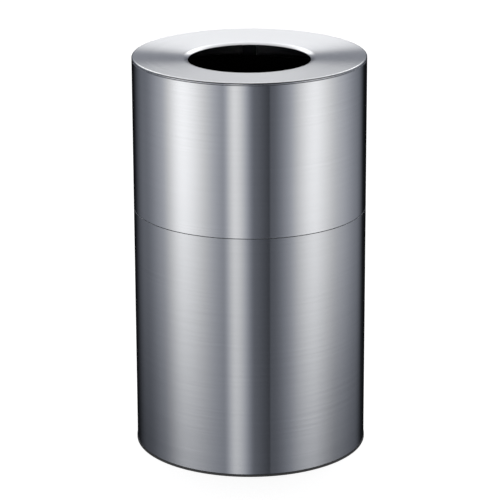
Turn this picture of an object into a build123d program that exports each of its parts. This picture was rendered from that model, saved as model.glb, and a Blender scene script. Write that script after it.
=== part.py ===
from build123d import *

import os
from math import asin, cos, degrees, radians, sin, sqrt, tan

# Round open-top litter bin of brushed aluminium, with a lift-off hood and a plastic liner.
# Millimetres. The origin is on the floor under the middle of the bin and +Z is up. The
# front is -Y, and the butt seams of the two rolled shells are at the back, +Y.

# ---------------------------------------------------------------- driving dimensions
OUTER_R = 254.0  # outside of both rolled shells
HEIGHT = 876.0  # floor to the top of the hood
SPLIT_Z = 539.0  # middle of the open line between base and hood
SPLIT_GAP = 0.9
SHEET = 1.6  # aluminium sheet of the shells and of the dished top
SHEET_EDGE = 0.5  # broken edges of cut sheet
BOND_GAP = 0.05  # between pieces that are bonded or spot-welded together
REST_GAP = 0.15  # between a loose piece and what it rests on

SEAM_AZIMUTH = 90.0
SEAM_GAP = 0.5
STRIP_WIDTH = 32.0
STRIP_T = 1.2

MOUTH_R = 132.3  # round opening in the dished top
LIP_R = 20.0  # outer radius of the turned-down lip round the opening
LIP_ANGLE = 38.0  # slope at the end of the lip
LIP_FLAT = 1.0  # straight end of the lip
DISH_ANGLE = 2.9  # slope of the dish towards the opening
RIM_ROUND = 3.6  # outer corner of the dished top
RIM_DEPTH = 4.6  # rounded rim that shows above the upper shell
JOGGLE = 1.5  # height over which the rim steps in to pass inside the shell
FLANGE_DEPTH = 20.0  # bonding flange of the dished top, under its highest point

TRIM_FLOOR = 2.0  # vinyl under the edges of the shell and the pan
TRIM_WALL = 0.9
TRIM_OUTER_H = 5.5
TRIM_INNER_H = 8.0

PAN_T = 1.2
PAN_TOP = 18.0
PAN_BEND = 4.0
BEAD_DEPTH = 3.0  # ring-shaped beads pressed into the pan
BEADS = ((150.0, 158.0), (92.0, 122.0))  # inner and outer radius of each bead's bottom

COLLAR_T = 1.4
COLLAR_BOTTOM = 505.0
COLLAR_TOP = 564.0
COLLAR_STEP = 3.0  # inward joggle that lets the hood slide over the upper half
RING_T = 1.4  # angle ring bonded inside the open end of the hood
RING_RISE = 1.5  # lower edge of that ring above the shell's

BUFFER_COUNT = 6
BUFFER_WIDTH = 16.0
BUFFER_WALL = 1.1
BUFFER_TOP = 1.6
BUFFER_DROP = 9.0

PAD_COUNT = 4
PAD_R = 15.0
PAD_H = 4.5
PAD_CIRCLE_R = 185.0

LINER_WALL = 3.5
LINER_TOP = 816.0
BAND_R = 233.0  # inside of the straight band under the liner's rim
BAND_BOTTOM = 744.0
BAND_STEP = 4.0  # stacking step under the band
FOOT_R = 217.5  # inside of the tapered wall where it meets the floor
FOOT_ROUND = 18.0
KICK_R = 152.0  # middle of the step up to the raised floor
KICK_H = 9.0
RIM_WIDTH = 10.0  # rolled rim of the liner
RIM_SKIRT = 17.0

PIVOT_X = 214.0  # axis of each handle
PIVOT_Z = 785.0
WIRE_R = 3.0
HANDLE_HALF = 60.0  # from the middle to each leg
HANDLE_DROP = 62.0
HANDLE_BEND = 14.0
WIRE_END = 72.0  # from the middle to each turned-out end
WIRE_END_BEND = 5.0
GRIP_R = 8.0
GRIP_LENGTH = 88.0
GRIP_ROUND = 1.5
PIVOT_GAP = 0.1  # running clearance round the wire in its ears

BRACKET_T = 1.5
BRACKET_H = 28.0
EAR_Y = 66.0  # inner face of each ear
EAR_T = 2.5
EAR_R = 8.5

RIVET_COUNT = 4  # in each bracket
RIVET_STEP = 8.0  # degrees from rivet to rivet
RIVET_R = 2.4
RIVET_HEAD_R = 4.6
RIVET_HEAD_H = 1.7
RIVET_TAIL_R = 3.8
RIVET_TAIL_H = 2.4
WASHER_R = 7.0
WASHER_T = 1.0

# ---------------------------------------------------------------- worked-out dimensions
inner_r = OUTER_R - SHEET
bond_r = inner_r - BOND_GAP  # outside of whatever is bonded inside a shell
lower_shell_top = SPLIT_Z - SPLIT_GAP / 2
upper_shell_bottom = SPLIT_Z + SPLIT_GAP / 2
rim_bottom = HEIGHT - RIM_DEPTH
upper_shell_top = rim_bottom - JOGGLE + 0.1
guide_r = bond_r - COLLAR_STEP
ring_underside = COLLAR_TOP + BUFFER_TOP + REST_GAP
liner_bottom = PAN_TOP + PAD_H + REST_GAP
liner_floor = liner_bottom + LINER_WALL
plate_r = BAND_R - BOND_GAP  # back of the handle brackets


def radial_plane(azimuth):
    """Upright plane through the axis: local x points outwards at the azimuth, local y up."""
    a = radians(azimuth)
    return Plane(origin=(0, 0, 0), x_dir=(cos(a), sin(a), 0), z_dir=(sin(a), -cos(a), 0))


# ---------------------------------------------------------------- rolled shells and seams
def rolled_shell(bottom, top):
    """A sheet rolled into a tube, its ends meeting in a butt seam at the back."""
    seam_arc = degrees(SEAM_GAP / OUTER_R)
    with BuildPart() as shell:
        with BuildSketch(radial_plane(SEAM_AZIMUTH + seam_arc / 2)) as section:
            with Locations(((OUTER_R + inner_r) / 2, (bottom + top) / 2)):
                Rectangle(SHEET, top - bottom)
            fillet(section.vertices(), SHEET_EDGE)
        revolve(axis=Axis.Z, revolution_arc=360 - seam_arc)
    return shell


def seam_strip(bottom, top):
    """Backing strip bonded inside a shell, behind its butt seam."""
    strip_arc = degrees(STRIP_WIDTH / inner_r)
    with BuildPart() as strip:
        with BuildSketch(radial_plane(SEAM_AZIMUTH - strip_arc / 2)):
            with Locations((bond_r - STRIP_T / 2, (bottom + top) / 2)):
                Rectangle(STRIP_T, top - bottom)
        revolve(axis=Axis.Z, revolution_arc=strip_arc)
    return strip


lower_shell = rolled_shell(TRIM_FLOOR + BOND_GAP, lower_shell_top)
upper_shell = rolled_shell(upper_shell_bottom, upper_shell_top)
lower_seam_strip = seam_strip(PAN_TOP + 4, COLLAR_BOTTOM - 1)
upper_seam_strip = seam_strip(ring_underside + RING_T + 1, HEIGHT - FLANGE_DEPTH - 1)

# ---------------------------------------------------------------- dished top
dish_slope = tan(radians(DISH_ANGLE))
lip_run = LIP_R * tan(radians(LIP_ANGLE - DISH_ANGLE) / 2) + LIP_FLAT
lip_corner_r = MOUTH_R + lip_run * cos(radians(LIP_ANGLE))
lip_corner_z = HEIGHT - dish_slope * (OUTER_R - RIM_ROUND - lip_corner_r)
lip_end_z = lip_corner_z - lip_run * sin(radians(LIP_ANGLE))

with BuildPart() as dished_top:
    with BuildSketch(Plane.XZ) as section:
        with BuildLine():
            FilletPolyline(
                (MOUTH_R, lip_end_z),
                (lip_corner_r, lip_corner_z),
                (OUTER_R, HEIGHT + dish_slope * RIM_ROUND),
                (OUTER_R, rim_bottom),
                (bond_r, rim_bottom - JOGGLE),
                (bond_r, HEIGHT - FLANGE_DEPTH),
                radius=[LIP_R, RIM_ROUND, 1.0, 1.0],
            )
            offset(amount=SHEET, side=Side.RIGHT)
        make_face()
        fillet(section.vertices().sort_by(Axis.X)[:2], 0.7)
    revolve(axis=Axis.Z)

# ---------------------------------------------------------------- collar, edge ring, buffers
with BuildPart() as locating_collar:
    with BuildSketch(Plane.XZ):
        with BuildLine():
            FilletPolyline(
                (bond_r, COLLAR_BOTTOM),
                (bond_r, lower_shell_top - 7),
                (guide_r, lower_shell_top - 1),
                (guide_r, COLLAR_TOP),
                radius=3.0,
            )
            offset(amount=COLLAR_T, side=Side.LEFT)
        make_face()
    revolve(axis=Axis.Z)

with BuildPart() as hood_edge_ring:
    with BuildSketch(Plane.XZ):
        with BuildLine():
            FilletPolyline(
                (bond_r, upper_shell_bottom + RING_RISE),
                (bond_r, ring_underside + RING_T),
                (guide_r - COLLAR_T - BUFFER_WALL - 0.3, ring_underside + RING_T),
                radius=2.0,
            )
            offset(amount=RING_T, side=Side.LEFT)
        make_face()
    revolve(axis=Axis.Z)

buffer_arc = degrees(BUFFER_WIDTH / guide_r)
with BuildPart() as hood_buffers:
    for k in range(BUFFER_COUNT):
        with BuildSketch(radial_plane(360 / BUFFER_COUNT * (k + 0.5) - buffer_arc / 2)):
            with Locations((guide_r - COLLAR_T / 2, COLLAR_TOP + (BUFFER_TOP - BUFFER_DROP) / 2)):
                Rectangle(COLLAR_T + 2 * BUFFER_WALL, BUFFER_TOP + BUFFER_DROP)
            with Locations((guide_r - COLLAR_T / 2, COLLAR_TOP - BUFFER_DROP / 2)):
                Rectangle(COLLAR_T + 2 * BOND_GAP, BUFFER_DROP + 2 * BOND_GAP, mode=Mode.SUBTRACT)
        revolve(axis=Axis.Z, revolution_arc=buffer_arc)

# ---------------------------------------------------------------- base pan, trim and pads
bead_points = []
for bead_inner, bead_outer in BEADS:
    bead_points += [
        (bead_outer + BEAD_DEPTH, PAN_TOP),
        (bead_outer, PAN_TOP - BEAD_DEPTH),
        (bead_inner, PAN_TOP - BEAD_DEPTH),
        (bead_inner - BEAD_DEPTH, PAN_TOP),
    ]

with BuildPart() as base_pan:
    with BuildSketch(Plane.XZ):
        with BuildLine():
            FilletPolyline(
                (bond_r, TRIM_FLOOR + BOND_GAP),
                (bond_r, PAN_TOP),
                *bead_points,
                (0, PAN_TOP),
                radius=[PAN_BEND] + [1.5] * len(bead_points),
            )
            offset(amount=PAN_T, side=Side.LEFT)
        make_face()
    revolve(axis=Axis.Z)

trim_outer = OUTER_R + BOND_GAP + TRIM_WALL
trim_inner = bond_r - PAN_T - BOND_GAP - TRIM_WALL
with BuildPart() as base_trim:
    with BuildSketch(Plane.XZ) as channel:
        with BuildLine():
            Polyline(
                (trim_inner, 0),
                (trim_outer, 0),
                (trim_outer, TRIM_OUTER_H),
                (trim_outer - TRIM_WALL, TRIM_OUTER_H),
                (trim_outer - TRIM_WALL, TRIM_FLOOR),
                (trim_inner + TRIM_WALL, TRIM_FLOOR),
                (trim_inner + TRIM_WALL, TRIM_INNER_H),
                (trim_inner, TRIM_INNER_H),
                close=True,
            )
        make_face()
        fillet(channel.vertices().group_by(Axis.Y)[0], 0.6)
        fillet(channel.vertices().filter_by(lambda v: v.Y > TRIM_OUTER_H - 0.1), 0.35)
    revolve(axis=Axis.Z)

with BuildPart() as liner_pads:
    with BuildSketch(Plane.XY.offset(PAN_TOP)):
        with PolarLocations(PAD_CIRCLE_R, PAD_COUNT, start_angle=45):
            Circle(PAD_R)
    extrude(amount=PAD_H)
    fillet(liner_pads.edges().group_by(Axis.Z)[-1], 1.2)

# ---------------------------------------------------------------- liner
rivet_axes = []
for side in (0, 180):
    for k in range(RIVET_COUNT):
        a = radians(side + RIVET_STEP * (k - (RIVET_COUNT - 1) / 2))
        rivet_axes.append(Plane(origin=(0, 0, PIVOT_Z), z_dir=(cos(a), sin(a), 0)))

with BuildPart() as liner_bucket:
    with BuildSketch(Plane.XZ):
        with BuildLine():
            FilletPolyline(
                (0, liner_floor + KICK_H),
                (KICK_R - 7, liner_floor + KICK_H),
                (KICK_R + 7, liner_floor),
                (FOOT_R, liner_floor),
                (BAND_R - BAND_STEP, BAND_BOTTOM - BAND_STEP),
                (BAND_R, BAND_BOTTOM),
                (BAND_R, LINER_TOP),
                (BAND_R + RIM_WIDTH, LINER_TOP),
                (BAND_R + RIM_WIDTH, LINER_TOP - RIM_SKIRT),
                radius=[8, 8, FOOT_ROUND, 4, 2, RIM_WIDTH / 2 - 0.1, RIM_WIDTH / 2 - 0.1],
            )
            offset(amount=LINER_WALL, side=Side.RIGHT)
        make_face()
    revolve(axis=Axis.Z)
    for axis_plane in rivet_axes:
        with BuildSketch(axis_plane):
            Circle(RIVET_R + BOND_GAP)
        extrude(amount=OUTER_R, mode=Mode.SUBTRACT)

# ---------------------------------------------------------------- handle brackets and fixings
ear_root = sqrt((plate_r - BRACKET_T / 2) ** 2 - (EAR_Y + EAR_T) ** 2)
plate_half_arc = degrees(asin((EAR_Y + EAR_T) / plate_r))
with BuildPart() as right_handle_bracket:
    with BuildSketch(radial_plane(-plate_half_arc)):
        with Locations((plate_r - BRACKET_T / 2, PIVOT_Z)):
            Rectangle(BRACKET_T, BRACKET_H)
    revolve(axis=Axis.Z, revolution_arc=2 * plate_half_arc)
    for ear_y in (-EAR_Y, EAR_Y + EAR_T):
        with BuildSketch(Plane.XZ.offset(-ear_y)):
            with BuildLine():
                Polyline(
                    (PIVOT_X, PIVOT_Z - EAR_R),
                    (ear_root, PIVOT_Z - BRACKET_H / 2),
                    (ear_root, PIVOT_Z + BRACKET_H / 2),
                    (PIVOT_X, PIVOT_Z + EAR_R),
                    close=True,
                )
            make_face()
            with Locations((PIVOT_X, PIVOT_Z)):
                Circle(EAR_R)
                Circle(WIRE_R + PIVOT_GAP, mode=Mode.SUBTRACT)
        extrude(amount=EAR_T)
    for axis_plane in rivet_axes[:RIVET_COUNT]:
        with BuildSketch(axis_plane):
            Circle(RIVET_R + BOND_GAP)
        extrude(amount=OUTER_R, mode=Mode.SUBTRACT)

head_seat = plate_r - BRACKET_T - REST_GAP
tail_seat = BAND_R + LINER_WALL + REST_GAP + WASHER_T + BOND_GAP
with BuildPart() as handle_rivets:
    for axis_plane in rivet_axes:
        with BuildSketch(axis_plane.offset(head_seat - RIVET_HEAD_H)):
            Circle(RIVET_HEAD_R)
        extrude(amount=RIVET_HEAD_H)
        with BuildSketch(axis_plane.offset(head_seat)):
            Circle(RIVET_R)
        extrude(amount=tail_seat - head_seat)
        with BuildSketch(axis_plane.offset(tail_seat)):
            Circle(RIVET_TAIL_R)
        extrude(amount=RIVET_TAIL_H)

with BuildPart() as rivet_washers:
    for axis_plane in rivet_axes:
        with BuildSketch(axis_plane.offset(BAND_R + LINER_WALL + REST_GAP)):
            Circle(WASHER_R)
            Circle(RIVET_R + BOND_GAP, mode=Mode.SUBTRACT)
        extrude(amount=WASHER_T)

# ---------------------------------------------------------------- drop handles
with BuildPart() as right_handle_wire:
    with BuildLine() as bail:
        FilletPolyline(
            (PIVOT_X, -WIRE_END, PIVOT_Z),
            (PIVOT_X, -HANDLE_HALF, PIVOT_Z),
            (PIVOT_X, -HANDLE_HALF, PIVOT_Z - HANDLE_DROP),
            (PIVOT_X, HANDLE_HALF, PIVOT_Z - HANDLE_DROP),
            (PIVOT_X, HANDLE_HALF, PIVOT_Z),
            (PIVOT_X, WIRE_END, PIVOT_Z),
            radius=[WIRE_END_BEND, HANDLE_BEND, HANDLE_BEND, WIRE_END_BEND],
        )
    with BuildSketch(Plane(origin=bail.line @ 0, z_dir=bail.line % 0)):
        Circle(WIRE_R)
    sweep()
    chamfer(right_handle_wire.faces().filter_by(Axis.Y).edges(), 0.6)

with BuildPart() as right_handle_grip:
    grip_end = Plane(origin=(PIVOT_X, -GRIP_LENGTH / 2, PIVOT_Z - HANDLE_DROP), z_dir=(0, 1, 0))
    with BuildSketch(grip_end):
        Circle(GRIP_R)
    extrude(amount=GRIP_LENGTH)
    fillet(right_handle_grip.edges().filter_by(GeomType.CIRCLE), GRIP_ROUND)
    with BuildSketch(grip_end):
        Circle(WIRE_R + BOND_GAP)
    extrude(amount=GRIP_LENGTH, mode=Mode.SUBTRACT)


def left_copy(right):
    """The same piece on the left side of the bin."""
    with BuildPart() as left:
        mirror(right.part, about=Plane.YZ)
    return left


left_handle_bracket = left_copy(right_handle_bracket)
left_handle_wire = left_copy(right_handle_wire)
left_handle_grip = left_copy(right_handle_grip)

# ---------------------------------------------------------------- files
pieces = {
    "lower_shell": lower_shell,
    "lower_seam_strip": lower_seam_strip,
    "base_pan": base_pan,
    "base_trim": base_trim,
    "locating_collar": locating_collar,
    "hood_buffers": hood_buffers,
    "liner_pads": liner_pads,
    "upper_shell": upper_shell,
    "upper_seam_strip": upper_seam_strip,
    "dished_top": dished_top,
    "hood_edge_ring": hood_edge_ring,
    "liner_bucket": liner_bucket,
    "right_handle_bracket": right_handle_bracket,
    "left_handle_bracket": left_handle_bracket,
    "handle_rivets": handle_rivets,
    "rivet_washers": rivet_washers,
    "right_handle_wire": right_handle_wire,
    "left_handle_wire": left_handle_wire,
    "right_handle_grip": right_handle_grip,
    "left_handle_grip": left_handle_grip,
}
os.makedirs("parts", exist_ok=True)
for label, piece in pieces.items():
    piece.part.label = label
    export_step(piece.part, f"parts/{label}.step")
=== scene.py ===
from math import cos, pi, radians, sin, tan

import bmesh
import bpy
from mathutils import Matrix, Vector


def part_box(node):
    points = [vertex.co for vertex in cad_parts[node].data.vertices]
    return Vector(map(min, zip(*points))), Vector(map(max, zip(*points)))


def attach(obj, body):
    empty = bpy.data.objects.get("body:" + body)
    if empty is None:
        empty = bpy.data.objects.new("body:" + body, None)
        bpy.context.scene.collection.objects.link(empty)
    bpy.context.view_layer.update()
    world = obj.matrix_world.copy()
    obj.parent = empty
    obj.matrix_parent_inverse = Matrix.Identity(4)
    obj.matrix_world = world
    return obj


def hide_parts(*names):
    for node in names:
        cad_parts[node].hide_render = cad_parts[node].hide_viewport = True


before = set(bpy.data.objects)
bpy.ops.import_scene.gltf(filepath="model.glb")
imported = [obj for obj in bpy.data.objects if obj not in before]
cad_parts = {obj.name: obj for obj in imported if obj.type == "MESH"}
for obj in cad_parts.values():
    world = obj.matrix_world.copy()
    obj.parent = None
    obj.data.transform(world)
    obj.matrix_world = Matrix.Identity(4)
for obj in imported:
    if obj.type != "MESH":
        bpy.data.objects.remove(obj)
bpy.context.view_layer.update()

# Looks of the round litter bin. Everything is in metres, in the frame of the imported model:
# the origin is on the floor under the middle of the bin, +Z is up and the front is -Y.

MM = 0.001
TURN = 2 * pi
FACETS = 384  # steps round a full turn of the large pieces


# ---------------------------------------------------------------- node graphs
class Value:
    """A socket's value that Python arithmetic adds nodes to."""

    def __init__(self, graph, socket):
        self.graph = graph
        self.socket = socket

    def maths(self, operation, *others):
        return self.graph.node("ShaderNodeMath", {"operation": operation}, (self, *others))

    def __add__(self, other):
        return self.maths("ADD", other)

    def __sub__(self, other):
        return self.maths("SUBTRACT", other)

    def __mul__(self, other):
        return self.maths("MULTIPLY", other)

    def __truediv__(self, other):
        return self.maths("DIVIDE", other)

    def __rsub__(self, other):
        return self.graph.node("ShaderNodeMath", {"operation": "SUBTRACT"}, (other, self))

    __radd__ = __add__
    __rmul__ = __mul__


class Graph:
    """A node tree that nodes are added to by type, settings and inputs."""

    def __init__(self, tree):
        self.tree = tree

    def node(self, kind, settings=None, inputs=(), output=0):
        """Adds a node: settings first, then its inputs by place or by name. Gives one output."""
        made = self.tree.nodes.new(kind)
        for key, value in (settings or {}).items():
            setattr(made, key, value)
        named = inputs.items() if isinstance(inputs, dict) else enumerate(inputs)
        for key, value in named:
            if isinstance(value, Value):
                self.tree.links.new(value.socket, made.inputs[key])
            elif value is not None:
                made.inputs[key].default_value = value
        return Value(self, made.outputs[output]) if made.outputs else made


def soft_step(graph, value, low, high):
    """0 below low, 1 above high, with a smooth rise between."""
    settings = {"interpolation_type": "SMOOTHSTEP"}
    return graph.node("ShaderNodeMapRange", settings, {0: value, 1: low, 2: high})


def grey(level):
    return (level, level, level, 1)


def between(graph, share, low, high):
    """The colour a share of the way from low to high."""
    return graph.node("ShaderNodeMix", {"data_type": "RGBA"}, {0: share, 6: low, 7: high}, 2)


# ---------------------------------------------------------------- camera
CAMERA_BACK = 5.559
CAMERA_HEIGHT = 2.205
CAMERA_PITCH = radians(17.67)
CAMERA_ROLL = -0.0035
CAMERA_LENS = 190.6


def make_camera():
    data = bpy.data.cameras.new("camera")
    data.lens = CAMERA_LENS
    data.sensor_width = 36
    data.clip_end = 200
    camera = bpy.data.objects.new("camera", data)
    bpy.context.scene.collection.objects.link(camera)
    tilt = Matrix.Rotation(pi / 2 - CAMERA_PITCH, 4, "X") @ Matrix.Rotation(CAMERA_ROLL, 4, "Z")
    camera.matrix_world = Matrix.Translation((0, -CAMERA_BACK, CAMERA_HEIGHT)) @ tilt
    bpy.context.scene.camera = camera


# ---------------------------------------------------------------- studio
FLOOR_HALF = 30.0
FLOOR_GREY, FLOOR_GLOW = 0.5, 0.93
BACKGROUND = 0.985

# Heights over the horizon between which a light comes up or dies away
BANK_FOOT = radians(-23), radians(-16.5)  # from the low level of the banks to the high one
BANK_CREST = radians(-17.5), radians(-12)  # into a slight fade, stronger on the right
BANK_TOP = radians(2), radians(14)
ROOM_BOTTOM = radians(0), radians(14)
CROWN = radians(28), radians(50)  # from the box's edge to its part overhead
FLOOR_EDGE = radians(-47), radians(-30)

CREST_FADE, CREST_FADE_RIGHT = 0.08, 0.17
BANK_LEVEL = 1.3
BOX_HEIGHT, BOX_SPREAD, BOX_SOFT = radians(55), radians(37), radians(4)
BOX_LEVEL, BOX_TOP_LEVEL = 1.38, 0.84  # near its lower edge and overhead
ROOM_LEVEL = 0.25
FLOOR_LEVEL = 0.3

# The upright light banks round the bin. Each has its brightest direction, in degrees from the
# camera's side to the right, its reach to the left and to the right of that, its level a little
# below the horizon, and its level further down, where the floor begins to shade it.
BANKS = (
    (-125, 34, 82, 0.12, 0.03),  # far left
    (-73, 53, 46, 0.39, 0.06),  # left, wide
    (-67, 30, 52, 0.45, 0.02),  # left, its bright middle
    (-25, 64, 62, 0.20, 0.14),  # front, faint and wide
    (-14, 13, 19, 0.45, 0.22),  # front, a narrow strip
    (20, 0.6, 55, 0.04, 0.03),  # front right, with a sharp near edge
    (51, 34, 48, 0.41, 0.11),  # right, its near half
    (70, 33, 66, 0.62, 0.05),  # right, its bright middle
    (130, 55, 23, 0.16, 0.04),  # far right
)
DARK_LEVEL = 0.005  # between the banks
COOL = (0.92, 0.99, 1.19, 1)  # dim light
NEUTRAL = (1.0, 1.0, 1.015, 1)  # bright light


def light_of_banks(graph, azimuth, height):
    """The banks' levels in a direction: each fades softly to both sides of its middle."""
    lift = soft_step(graph, height, *BANK_FOOT)
    light = DARK_LEVEL
    for middle, left, right, level, low_level in BANKS:
        rise = soft_step(graph, azimuth, radians(middle - left), radians(middle))
        fall = 1 - soft_step(graph, azimuth, radians(middle), radians(middle + right))
        light = light + rise * fall * (low_level + lift * (level - low_level))
    return light


def make_world():
    """Soft light banks all round, a soft box over the back, and what the room and floor give."""
    world = bpy.data.worlds.new("studio")
    bpy.context.scene.world = world
    world.use_nodes = True
    graph = Graph(world.node_tree)
    world.node_tree.nodes.clear()
    toward = graph.node("ShaderNodeTexCoord", output="Generated")
    x = graph.node("ShaderNodeSeparateXYZ", None, (toward,), "X")
    y = graph.node("ShaderNodeSeparateXYZ", None, (toward,), "Y")
    z = graph.node("ShaderNodeSeparateXYZ", None, (toward,), "Z")
    height = z.maths("ARCSINE")
    banks = light_of_banks(graph, x.maths("ARCTAN2", 0 - y), height)
    below_top = 1 - soft_step(graph, height, *BANK_TOP)
    fade = CREST_FADE + CREST_FADE_RIGHT * soft_step(graph, x, 0.0, 0.5)
    crest = soft_step(graph, height, *BANK_CREST) * fade
    banks = banks * below_top * (1 - crest) * BANK_LEVEL
    toward_box = y * cos(BOX_HEIGHT) + z * sin(BOX_HEIGHT)
    box = soft_step(graph, toward_box, cos(BOX_SPREAD + BOX_SOFT), cos(BOX_SPREAD - BOX_SOFT))
    crown = soft_step(graph, height, *CROWN)
    box = box * (BOX_LEVEL + crown * (BOX_TOP_LEVEL - BOX_LEVEL))
    room = soft_step(graph, height, *ROOM_BOTTOM) * soft_step(graph, y, 0.2, 0.8)
    floor = 1 - soft_step(graph, height, *FLOOR_EDGE)
    level = banks + box + room * ROOM_LEVEL + floor * FLOOR_LEVEL
    tint = between(graph, level * 1.5, COOL, NEUTRAL)
    light = graph.node("ShaderNodeVectorMath", {"operation": "SCALE"}, {0: tint, "Scale": level})
    seen = graph.node("ShaderNodeLightPath", output="Is Camera Ray")
    lit = graph.node("ShaderNodeBackground", None, {"Color": light, "Strength": 1.0})
    plain = graph.node("ShaderNodeBackground", None, {"Color": grey(BACKGROUND)})
    mixed = graph.node("ShaderNodeMixShader", None, (seen, lit, plain))
    graph.node("ShaderNodeOutputWorld", None, (mixed,))


def make_floor():
    mesh = bpy.data.meshes.new("floor")
    h = FLOOR_HALF
    mesh.from_pydata([(-h, -h, 0), (h, -h, 0), (h, h, 0), (-h, h, 0)], [], [(0, 1, 2, 3)])
    floor = bpy.data.objects.new("floor", mesh)
    bpy.context.scene.collection.objects.link(floor)
    floor.visible_glossy = False
    floor.data.materials.append(pale_floor())


# ---------------------------------------------------------------- materials
def new_material(name):
    """A material with only its output, and its graph."""
    material = bpy.data.materials.new(name)
    material.use_nodes = True
    material.node_tree.nodes.clear()
    return material, Graph(material.node_tree)


def finish_material(graph, **inputs):
    """A Principled shader from inputs named with underscores for spaces."""
    named = {key.replace("_", " "): value for key, value in inputs.items()}
    surface = graph.node("ShaderNodeBsdfPrincipled", None, named)
    graph.node("ShaderNodeOutputMaterial", None, (surface,))


def darker(colour, share):
    """A share of a colour's brightness."""
    return [share * c for c in colour] + [1]


def noise(graph, place, scale, detail=2.0):
    """Soft random patches, this many to the metre."""
    inputs = {"Vector": place, "Scale": scale, "Detail": detail}
    return graph.node("ShaderNodeTexNoise", None, inputs, "Fac")


def bumps(graph, height, strength, depth):
    """A surface raised by a height between 0 and 1."""
    inputs = {"Strength": strength, "Distance": depth, "Height": height}
    return graph.node("ShaderNodeBump", None, inputs)


def pale_floor():
    material, graph = new_material("pale_floor")
    place = graph.node("ShaderNodeTexCoord", output="Object")
    mottle = noise(graph, place, 3.0)
    finish_material(
        graph,
        Base_Color=grey(FLOOR_GREY),
        Roughness=0.75 + 0.1 * mottle,
        Emission_Color=grey(1.0),
        Emission_Strength=FLOOR_GLOW,
    )
    return material


def stretched_noise(graph, place, slow, fine, detail):
    """Noise drawn out round the bin: slow along x and y, fine along the third coordinate."""
    scaled = graph.node(
        "ShaderNodeVectorMath", {"operation": "MULTIPLY"}, (place, (slow, slow, fine))
    )
    return noise(graph, scaled, 1.0, detail)


def brushed_aluminium(name, colour, roughness, spun=False):
    """Satin aluminium brushed round the bin, or spun with rings round its axis."""
    material, graph = new_material(name)
    place = graph.node("ShaderNodeTexCoord", output="Object")
    if spun:
        x = graph.node("ShaderNodeSeparateXYZ", None, (place,), "X")
        y = graph.node("ShaderNodeSeparateXYZ", None, (place,), "Y")
        radius = (x * x + y * y).maths("SQRT")
        place = graph.node("ShaderNodeCombineXYZ", None, (x, y, radius))
    lines = stretched_noise(graph, place, 5.0, 800.0, 3.0)
    bands = stretched_noise(graph, place, 3.0, 320.0, 2.0)
    wipe = noise(graph, place, 6.0)
    grain = lines * 0.5 + bands * 0.5
    tint = between(graph, (grain - 0.3) * 2.5, darker(colour, 0.92), (*colour, 1))
    relief = bumps(graph, grain, 0.06, 0.2 * MM)
    finish_material(
        graph,
        Base_Color=tint,
        Metallic=1.0,
        Roughness=roughness + 0.03 * grain + 0.02 * wipe,
        Anisotropic=1.0,
        Anisotropic_Rotation=0.25,
        Normal=relief,
    )
    return material


def black_moulding(name, level, roughness, grain_size):
    """Black plastic or rubber with a fine moulded grain and faint rubbed patches."""
    material, graph = new_material(name)
    place = graph.node("ShaderNodeTexCoord", output="Object")
    grain = noise(graph, place, 1 / grain_size, 3.0)
    rubbed = noise(graph, place, 14.0, 4.0)
    tone = between(graph, rubbed, grey(level * 0.8), grey(level * 1.3))
    relief = bumps(graph, grain, 0.25, 0.3 * MM)
    finish_material(
        graph, Base_Color=tone, Roughness=roughness + 0.12 * (rubbed - 0.5), Normal=relief
    )
    return material


def galvanised(name, colour):
    """Zinc coating with its frost-like crystals."""
    material, graph = new_material(name)
    place = graph.node("ShaderNodeTexCoord", output="Object")
    crystals = graph.node("ShaderNodeTexVoronoi", None, {"Vector": place, "Scale": 130.0}, "Color")
    shade = graph.node("ShaderNodeRGBToBW", None, (crystals,))
    cloud = noise(graph, place, 30.0)
    tint = between(graph, shade, darker(colour, 0.8), (*colour, 1))
    finish_material(graph, Base_Color=tint, Metallic=1.0, Roughness=0.32 + 0.12 * shade + 0.1 * cloud)
    return material


def plain_metal(name, colour, roughness):
    """Rolled or drawn metal with fine streaks along its length."""
    material, graph = new_material(name)
    place = graph.node("ShaderNodeTexCoord", output="Object")
    streaks = stretched_noise(graph, place, 40.0, 900.0, 2.0)
    tint = between(graph, streaks, darker(colour, 0.88), (*colour, 1))
    relief = bumps(graph, streaks, 0.08, 0.1 * MM)
    finish_material(
        graph, Base_Color=tint, Metallic=1.0, Roughness=roughness + 0.1 * streaks, Normal=relief
    )
    return material


# ---------------------------------------------------------------- turned pieces
ARC_STEP = radians(7)
BESIDE = 0.06 * MM  # from the end of a round corner to the extra point that keeps the flat flat


def rounded_outline(corners):
    """Closed outline through (r, z, radius) corners, each rounded to its radius."""
    outline = []
    for k, (r, z, radius) in enumerate(corners):
        here = Vector((r, z))
        if not radius:
            outline.append(here)
            continue
        back = (Vector(corners[k - 1][:2]) - here).normalized()
        ahead = (Vector(corners[(k + 1) % len(corners)][:2]) - here).normalized()
        turn = pi - back.angle(ahead)
        reach = radius * tan(turn / 2)
        side = 1 if back.x * ahead.y - back.y * ahead.x < 0 else -1
        spoke = Vector((-back.y, back.x)) * side * radius
        centre = here + back * reach - spoke
        outline.append(here + back * (reach + BESIDE))
        count = max(2, round(turn / ARC_STEP))
        for step in range(count + 1):
            outline.append(centre + Matrix.Rotation(side * turn * step / count, 2) @ spoke)
        outline.append(here + ahead * (reach + BESIDE))
    return outline


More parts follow.
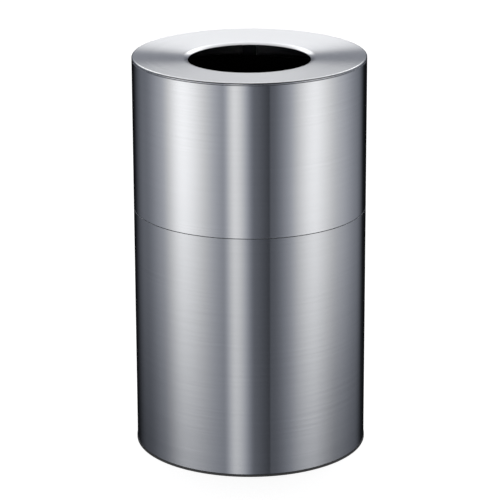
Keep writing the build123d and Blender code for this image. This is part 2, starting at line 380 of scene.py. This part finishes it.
def sheet_corners(points, thickness, edge):
    """Corners of a bent sheet's section. The points are one face; the other is to its right."""
    face, other = [], []
    for k, (r, z, *bend) in enumerate(points):
        here = Vector((r, z))
        normals = []
        if k > 0:
            along = here - Vector(points[k - 1][:2])
            normals.append(Vector((along.y, -along.x)).normalized())
        if k < len(points) - 1:
            along = Vector(points[k + 1][:2]) - here
            normals.append(Vector((along.y, -along.x)).normalized())
        middle = sum(normals, Vector((0, 0)))
        offset = here + middle * thickness * len(normals) / middle.length_squared
        inner = edge
        radius = edge
        if len(normals) == 2:
            radius = bend[0]
            turn = normals[0].x * normals[1].y - normals[0].y * normals[1].x
            inner = radius + thickness if turn > 0 else max(radius - thickness, 0)
        face.append((r, z, radius))
        other.append((offset.x, offset.y, inner))
    return face + other[::-1]


def turned(name, corners, material, start=0.0, arc=TURN, facets=FACETS, place=None):
    """A piece turned round +Z from the corners of its section, then moved to its place."""
    outline = rounded_outline(corners)
    whole = abs(arc - TURN) < 1e-9
    shape = bmesh.new()
    rings = []
    for k in range(facets if whole else facets + 1):
        a = start + arc * k / facets
        rings.append([shape.verts.new((p.x * cos(a), p.x * sin(a), p.y)) for p in outline])
    for k in range(facets):
        this, following = rings[k], rings[(k + 1) % len(rings)]
        for i in range(len(outline)):
            j = (i + 1) % len(outline)
            shape.faces.new((this[i], this[j], following[j], following[i]))
    if not whole:
        shape.faces.new(rings[0])
        shape.faces.new(rings[-1][::-1])
    if place:
        bmesh.ops.transform(shape, matrix=place, verts=shape.verts)
    return mesh_piece(name, shape, material)


def mesh_piece(name, shape, material):
    """An object from a bmesh, merged, facing outwards and smooth but for its sharp edges."""
    bmesh.ops.remove_doubles(shape, verts=shape.verts, dist=1e-6)
    bmesh.ops.recalc_face_normals(shape, faces=shape.faces)
    mesh = bpy.data.meshes.new(name)
    shape.to_mesh(mesh)
    shape.free()
    mesh.shade_smooth()
    mesh.set_sharp_from_angle(angle=radians(32))
    piece = bpy.data.objects.new(name, mesh)
    bpy.context.scene.collection.objects.link(piece)
    mesh.materials.append(material)
    return piece


def settle(piece, body, slot, *nodes):
    """Puts a finished piece on its body, for the CAD nodes that it stands for. The slot is not used.
    """
    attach(piece, body)
    if nodes:
        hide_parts(*nodes)
    return piece


# ---------------------------------------------------------------- repeated pieces
def new_tree(name, sizes):
    """A Geometry Nodes tree with named inputs, and its graph and inputs."""
    tree = bpy.data.node_groups.new(name, "GeometryNodeTree")
    tree.interface.new_socket("Geometry", in_out="OUTPUT", socket_type="NodeSocketGeometry")
    for label, kind in sizes.items():
        tree.interface.new_socket(label, in_out="INPUT", socket_type=f"NodeSocket{kind}")
    graph = Graph(tree)
    given = tree.nodes.new("NodeGroupInput")
    return tree, graph, {label: Value(graph, given.outputs[label]) for label in sizes}


def close_tree(graph, shape, material):
    """Ends a tree: real meshes, smooth, with their material."""
    shape = graph.node("GeometryNodeRealizeInstances", None, (shape,))
    shape = graph.node("GeometryNodeSetMaterial", None, {"Geometry": shape, "Material": material})
    graph.node("NodeGroupOutput", None, (shape,))


def grown(name, tree, sizes):
    """Runs a tree with its sizes and keeps the result as a plain mesh object."""
    piece = bpy.data.objects.new(name, bpy.data.meshes.new(name + "_seed"))
    bpy.context.scene.collection.objects.link(piece)
    modifier = piece.modifiers.new("tree", "NODES")
    modifier.node_group = tree
    for item in tree.interface.items_tree:
        if item.in_out == "INPUT":
            modifier[item.identifier] = sizes[item.name]
    seen = piece.evaluated_get(bpy.context.evaluated_depsgraph_get())
    mesh = bpy.data.meshes.new_from_object(seen)
    piece.modifiers.clear()
    piece.data = mesh
    mesh.name = name
    mesh.set_sharp_from_angle(angle=radians(32))
    return piece


def round_axis_tree():
    """Copies of one piece round the bin's axis, in groups of evenly spaced copies."""
    sizes = {
        "Piece": "Object", "Material": "Material", "First": "Float", "Per Group": "Int",
        "Step": "Float", "Groups": "Int", "Group Step": "Float",
    }
    tree, graph, given = new_tree("round_axis", sizes)
    source = graph.node(
        "GeometryNodeObjectInfo", None, {"Object": given["Piece"]}, "Geometry"
    )
    points = graph.node(
        "GeometryNodePoints", None, {"Count": given["Groups"] * given["Per Group"]}
    )
    index = graph.node("GeometryNodeInputIndex")
    group = (index / given["Per Group"]).maths("FLOOR")
    place = index - group * given["Per Group"]
    angle = given["First"] + place * given["Step"] + group * given["Group Step"]
    turn = graph.node("ShaderNodeCombineXYZ", None, {"Z": angle})
    copies = graph.node(
        "GeometryNodeInstanceOnPoints", None, {"Points": points, "Instance": source, "Rotation": turn}
    )
    close_tree(graph, copies, given["Material"])
    return tree


# ---------------------------------------------------------------- the bin
OUTER_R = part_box("lower_shell")[1].x
SHELL_BOTTOM, LOWER_TOP = (corner.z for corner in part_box("lower_shell"))
UPPER_BOTTOM, UPPER_TOP = (corner.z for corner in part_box("upper_shell"))
TOP_LOW, TOP_HIGH = (corner.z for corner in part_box("dished_top"))
COLLAR_LOW, COLLAR_HIGH = (corner.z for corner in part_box("locating_collar"))
RING_LOW, RING_HIGH = (corner.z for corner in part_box("hood_edge_ring"))
LINER_LOW, LINER_HIGH = (corner.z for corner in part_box("liner_bucket"))
TRIM_R, TRIM_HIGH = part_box("base_trim")[1].x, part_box("base_trim")[1].z
PAN_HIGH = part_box("base_pan")[1].z
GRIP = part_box("right_handle_grip")

SHEET = 1.6 * MM
SHEET_EDGE = 0.5 * MM
SEAM_AT = pi / 2
SEAM_GAP = 0.5 * MM
BOND_GAP = 0.05 * MM
BOND_R = OUTER_R - SHEET - BOND_GAP

MOUTH_R = 132.3 * MM
LIP_R = 20 * MM
LIP_ANGLE = radians(38)
LIP_FLAT = 1 * MM
DISH_ANGLE = radians(2.9)
RIM_ROUND = 3.6 * MM
RIM_DEPTH = 4.6 * MM
JOGGLE = 1.5 * MM

TRIM_FLOOR = 2 * MM
TRIM_WALL = 0.9 * MM
TRIM_OUTER_H = 5.5 * MM
PAN_T = 1.2 * MM
BEAD_DEPTH = 3 * MM
BEADS = ((92 * MM, 122 * MM), (150 * MM, 158 * MM))
COLLAR_T = 1.4 * MM
GUIDE_R = BOND_R - 3 * MM
BUFFER_WALL = 1.1 * MM
BUFFER_TOP = 1.6 * MM
BUFFER_DROP = 9 * MM
BUFFER_WIDTH = 16 * MM
PAD_R = 15 * MM
PAD_H = 4.5 * MM
PAD_AT = 185 * MM

LINER_WALL = 3.5 * MM
BED_R = 217.5 * MM  # the liner's floor
BED_RISE, RISE_R, RISE_FOOT_R = 9 * MM, 145 * MM, 159 * MM  # its raised middle
BAND_R = 233 * MM
BAND_BOTTOM = 744 * MM
BAND_STEP = 4 * MM
ROLL_WIDTH, ROLL_DROP = 10 * MM, 17 * MM  # the rim rolled over outwards
RIM_R = 4.9 * MM
GRIP_AT = 214 * MM
GRIP_BORE = 3.05 * MM
RIBS, RIB_PITCH = 11, 6.4 * MM
GROOVE_MOUTH, GROOVE_BED, GROOVE_DEPTH = 3 * MM, 2 * MM, 0.9 * MM
PIVOT_Z = 785 * MM
BRACKET_T = 1.5 * MM
REST_GAP = 0.15 * MM
HEAD_SEAT = BAND_R - BOND_GAP - BRACKET_T - REST_GAP
WASHER_SEAT = BAND_R + LINER_WALL + REST_GAP
FASTENERS = -12, 4, 8, 2, 180  # first angle, number and step at a bracket, brackets, turn
HEAD_R, SHANK_R, TAIL_R = 4.6 * MM, 2.4 * MM, 3.8 * MM
WASHER_R, WASHER_HOLE_R, WASHER_T = 7 * MM, 2.45 * MM, 1 * MM


def rolled_shell(name, bottom, top, material):
    """A rolled tube of sheet with its open butt seam at the back."""
    inner = OUTER_R - SHEET
    corners = [
        (inner, bottom, SHEET_EDGE),
        (OUTER_R, bottom, SHEET_EDGE),
        (OUTER_R, top, SHEET_EDGE),
        (inner, top, SHEET_EDGE),
    ]
    gap = SEAM_GAP / OUTER_R
    return turned(name, corners, material, SEAM_AT + gap / 2, TURN - gap)


def dished_top(material):
    slope = tan(DISH_ANGLE)
    run = LIP_R * tan((LIP_ANGLE - DISH_ANGLE) / 2) + LIP_FLAT
    corner_r = MOUTH_R + run * cos(LIP_ANGLE)
    corner_z = TOP_HIGH - slope * (OUTER_R - RIM_ROUND - corner_r)
    rim_bottom = TOP_HIGH - RIM_DEPTH
    face = [
        (MOUTH_R, corner_z - run * sin(LIP_ANGLE)),
        (corner_r, corner_z, LIP_R),
        (OUTER_R, TOP_HIGH + slope * RIM_ROUND, RIM_ROUND),
        (OUTER_R, rim_bottom, 1 * MM),
        (BOND_R, rim_bottom - JOGGLE, 1 * MM),
        (BOND_R, TOP_LOW),
    ]
    return turned("spun_top", sheet_corners(face, SHEET, 0.7 * MM), material)


def edge_trim(material):
    """The vinyl channel that the shell and the pan stand in."""
    outer = TRIM_R
    inner = BOND_R - PAN_T - BOND_GAP - TRIM_WALL
    corners = [
        (inner, 0, 0.6 * MM),
        (outer, 0, 0.6 * MM),
        (outer, TRIM_OUTER_H, 0.35 * MM),
        (outer - TRIM_WALL, TRIM_OUTER_H, 0.35 * MM),
        (outer - TRIM_WALL, TRIM_FLOOR, 0),
        (inner + TRIM_WALL, TRIM_FLOOR, 0),
        (inner + TRIM_WALL, TRIM_HIGH, 0.35 * MM),
        (inner, TRIM_HIGH, 0.35 * MM),
    ]
    return turned("edge_trim", corners, material)


def pressed_pan(material):
    """The base pan with its two pressed beads and its turned-down flange."""
    face = [(0, PAN_HIGH)]
    for inner, outer in BEADS:
        face += [
            (inner - BEAD_DEPTH, PAN_HIGH, 1.5 * MM),
            (inner, PAN_HIGH - BEAD_DEPTH, 1.5 * MM),
            (outer, PAN_HIGH - BEAD_DEPTH, 1.5 * MM),
            (outer + BEAD_DEPTH, PAN_HIGH, 1.5 * MM),
        ]
    face += [(BOND_R, PAN_HIGH, 4 * MM), (BOND_R, TRIM_FLOOR + BOND_GAP)]
    return turned("pressed_pan", sheet_corners(face, PAN_T, 0), material)


def collar(material):
    face = [
        (GUIDE_R, COLLAR_HIGH),
        (GUIDE_R, LOWER_TOP - 1 * MM, 3 * MM),
        (BOND_R, LOWER_TOP - 7 * MM, 3 * MM),
        (BOND_R, COLLAR_LOW),
    ]
    return turned("guide_collar", sheet_corners(face, COLLAR_T, 0), material)


def edge_ring(material):
    inner = GUIDE_R - COLLAR_T - BUFFER_WALL - 0.3 * MM
    face = [(inner, RING_HIGH), (BOND_R, RING_HIGH, 2 * MM), (BOND_R, RING_LOW)]
    return turned("angle_ring", sheet_corners(face, COLLAR_T, 0), material)


def moulded_liner(material):
    """The rigid liner: raised floor, tapered wall, straight band and rolled rim."""
    bed = LINER_LOW + LINER_WALL
    face = [
        (0, bed + BED_RISE),
        (RISE_R, bed + BED_RISE, 8 * MM),
        (RISE_FOOT_R, bed, 8 * MM),
        (BED_R, bed, 18 * MM),
        (BAND_R - BAND_STEP, BAND_BOTTOM - BAND_STEP, 4 * MM),
        (BAND_R, BAND_BOTTOM, 2 * MM),
        (BAND_R, LINER_HIGH, RIM_R),
        (BAND_R + ROLL_WIDTH, LINER_HIGH, RIM_R),
        (BAND_R + ROLL_WIDTH, LINER_HIGH - ROLL_DROP),
    ]
    return turned("moulded_liner", sheet_corners(face, LINER_WALL, 0), material)


def ribbed_grip(name, x, material):
    """A grip moulded on the handle's wire, with raised ribs between its plain ends."""
    radius = (GRIP[1].x - GRIP[0].x) / 2
    half = (GRIP[1].y - GRIP[0].y) / 2
    groove = radius - GROOVE_DEPTH
    corners = [(GRIP_BORE, -half, 0), (radius, -half, 1.5 * MM)]
    for k in range(RIBS + 1):
        middle = (k - RIBS / 2) * RIB_PITCH
        corners += [
            (radius, middle - GROOVE_MOUTH / 2, 0.5 * MM),
            (groove, middle - GROOVE_BED / 2, 0.5 * MM),
            (groove, middle + GROOVE_BED / 2, 0.5 * MM),
            (radius, middle + GROOVE_MOUTH / 2, 0.5 * MM),
        ]
    corners += [(radius, half, 1.5 * MM), (GRIP_BORE, half, 0)]
    height = (GRIP[0].z + GRIP[1].z) / 2
    place = Matrix.Translation((x, 0, height)) @ Matrix.Rotation(-pi / 2, 4, "X")
    return turned(name, corners, material, facets=64, place=place)


def outward(radius, height):
    """Place that turns +Z outwards along +X, at a distance from the bin's axis."""
    return Matrix.Translation((radius, 0, height)) @ Matrix.Rotation(pi / 2, 4, "Y")


def round_the_bin(name, one, material, first, per_group=1, step=0.0, groups=1, group_step=0.0):
    """Copies of one piece round the bin's axis, angles in degrees. The first one is used up."""
    sizes = {
        "Piece": one, "Material": material, "First": radians(first), "Per Group": per_group,
        "Step": radians(step), "Groups": groups, "Group Step": radians(group_step),
    }
    made = grown(name, ROUND_AXIS, sizes)
    bpy.data.objects.remove(one)
    return made


def buffers(material):
    """Rubber caps pushed over the collar's edge, under the edge ring."""
    top, bottom = COLLAR_HIGH + BUFFER_TOP, COLLAR_HIGH - BUFFER_DROP
    outer, inner = GUIDE_R + BUFFER_WALL, GUIDE_R - COLLAR_T - BUFFER_WALL
    corners = [
        (inner, bottom, 0.3 * MM),
        (GUIDE_R - COLLAR_T - BOND_GAP, bottom, 0.3 * MM),
        (GUIDE_R - COLLAR_T - BOND_GAP, COLLAR_HIGH + BOND_GAP, 0),
        (GUIDE_R + BOND_GAP, COLLAR_HIGH + BOND_GAP, 0),
        (GUIDE_R + BOND_GAP, bottom, 0.3 * MM),
        (outer, bottom, 0.3 * MM),
        (outer, top, 0.7 * MM),
        (inner, top, 0.7 * MM),
    ]
    arc = BUFFER_WIDTH / GUIDE_R
    one = turned("buffer", corners, material, -arc / 2, arc, 12)
    return round_the_bin("buffers", one, material, 30, 6, 60)


def pads(material):
    """Round rubber pads with a raised edge, stuck to the pan under the liner."""
    corners = [
        (0, PAN_HIGH, 0),
        (PAD_R, PAN_HIGH, 0),
        (PAD_R, PAN_HIGH + PAD_H, 1.2 * MM),
        (PAD_R - 4 * MM, PAN_HIGH + PAD_H, 0.4 * MM),
        (PAD_R - 5 * MM, PAN_HIGH + PAD_H - 1 * MM, 0.4 * MM),
        (0, PAN_HIGH + PAD_H - 1 * MM, 0),
    ]
    one = turned("pad", corners, material, facets=64, place=Matrix.Translation((PAD_AT, 0, 0)))
    return round_the_bin("pads", one, material, 45, 4, 90)


def rivets(material):
    """Closed rivets: a domed head inside the liner, a pressed tail outside it."""
    tail = WASHER_SEAT + WASHER_T + BOND_GAP - HEAD_SEAT
    corners = [
        (0, -1.7 * MM, 0),
        (2.6 * MM, -1.62 * MM, 3 * MM),
        (4.2 * MM, -0.9 * MM, 1 * MM),
        (HEAD_R, 0, 0.2 * MM),
        (SHANK_R, 0, 0),
        (SHANK_R, tail, 0),
        (TAIL_R, tail, 0.3 * MM),
        (3.4 * MM, tail + 2.0 * MM, 0.8 * MM),
        (1.4 * MM, tail + 2.4 * MM, 0.3 * MM),
        (1.1 * MM, tail + 1.6 * MM, 0.2 * MM),
        (0, tail + 1.6 * MM, 0),
    ]
    one = turned("rivet", corners, material, facets=32, place=outward(HEAD_SEAT, PIVOT_Z))
    return round_the_bin("rivets", one, material, *FASTENERS)


def washers(material):
    corners = [
        (WASHER_HOLE_R, 0, 0.15 * MM),
        (WASHER_R, 0, 0.3 * MM),
        (WASHER_R, WASHER_T, 0.3 * MM),
        (WASHER_HOLE_R, WASHER_T, 0.15 * MM),
    ]
    one = turned("washer", corners, material, facets=48, place=outward(WASHER_SEAT, PIVOT_Z))
    return round_the_bin("washers", one, material, *FASTENERS)


make_camera()
make_world()
make_floor()
bpy.context.scene.view_settings.view_transform = "Standard"
ROUND_AXIS = round_axis_tree()

LOWER_METAL = brushed_aluminium("lower_metal", (0.82, 0.83, 0.84), 0.09)
HOOD_METAL = brushed_aluminium("hood_metal", (0.90, 0.91, 0.92), 0.09)
TOP_METAL = brushed_aluminium("top_metal", (0.84, 0.85, 0.86), 0.19, spun=True)
MILL_METAL = plain_metal("mill_metal", (0.66, 0.67, 0.68), 0.35)
# Painted shade: the seam strips get the mill metal at about half its brightness, so their edges stay
# dark instead of catching the light.
SHADED_STRIP_METAL = plain_metal("strip_metal_painted_shade", (0.34, 0.35, 0.36), 0.55)
ZINC = galvanised("galvanised_steel", (0.62, 0.64, 0.65))
PLATED = plain_metal("plated_wire", (0.66, 0.66, 0.64), 0.2)
RIVET_METAL = plain_metal("rivet_metal", (0.75, 0.75, 0.76), 0.25)
VINYL = black_moulding("trim_vinyl", 0.045, 0.45, 0.6 * MM)
RUBBER = black_moulding("black_rubber", 0.03, 0.6, 0.8 * MM)
LINER_PLASTIC = black_moulding("liner_plastic", 0.02, 0.5, 1.2 * MM)
GRIP_PLASTIC = black_moulding("grip_plastic", 0.03, 0.4, 0.7 * MM)

low_sheet = rolled_shell("lower_shell_sheet", SHELL_BOTTOM, LOWER_TOP, LOWER_METAL)
high_sheet = rolled_shell("upper_shell_sheet", UPPER_BOTTOM, UPPER_TOP, HOOD_METAL)
right_grip = ribbed_grip("right_ribbed_grip", GRIP_AT, GRIP_PLASTIC)
left_grip = ribbed_grip("left_ribbed_grip", -GRIP_AT, GRIP_PLASTIC)
settle(low_sheet, "base", "lower_metal", "lower_shell")
settle(high_sheet, "hood", "hood_metal", "upper_shell")
settle(dished_top(TOP_METAL), "hood", "top_metal", "dished_top")
settle(edge_trim(VINYL), "base", "trim_vinyl", "base_trim")
settle(pressed_pan(ZINC), "base", "galvanised_steel", "base_pan")
settle(collar(MILL_METAL), "base", "mill_metal", "locating_collar")
settle(edge_ring(MILL_METAL), "hood", "mill_metal", "hood_edge_ring")
settle(moulded_liner(LINER_PLASTIC), "liner", "liner_plastic", "liner_bucket")
settle(right_grip, "right_handle", "grip_plastic", "right_handle_grip")
settle(left_grip, "left_handle", "grip_plastic", "left_handle_grip")
settle(buffers(RUBBER), "base", "black_rubber", "hood_buffers")
settle(pads(RUBBER), "base", "black_rubber", "liner_pads")
settle(rivets(RIVET_METAL), "liner", "rivet_metal", "handle_rivets")
settle(washers(RIVET_METAL), "liner", "rivet_metal", "rivet_washers")

kept = {
    # The seam strips take the darkened metal, which is painted shade.
    SHADED_STRIP_METAL: ("lower_seam_strip", "upper_seam_strip"),
    ZINC: ("right_handle_bracket", "left_handle_bracket"),
    PLATED: ("right_handle_wire", "left_handle_wire"),
}
for material, nodes in kept.items():
    for node in nodes:
        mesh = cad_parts[node].data
        mesh.materials.clear()
        mesh.materials.append(material)
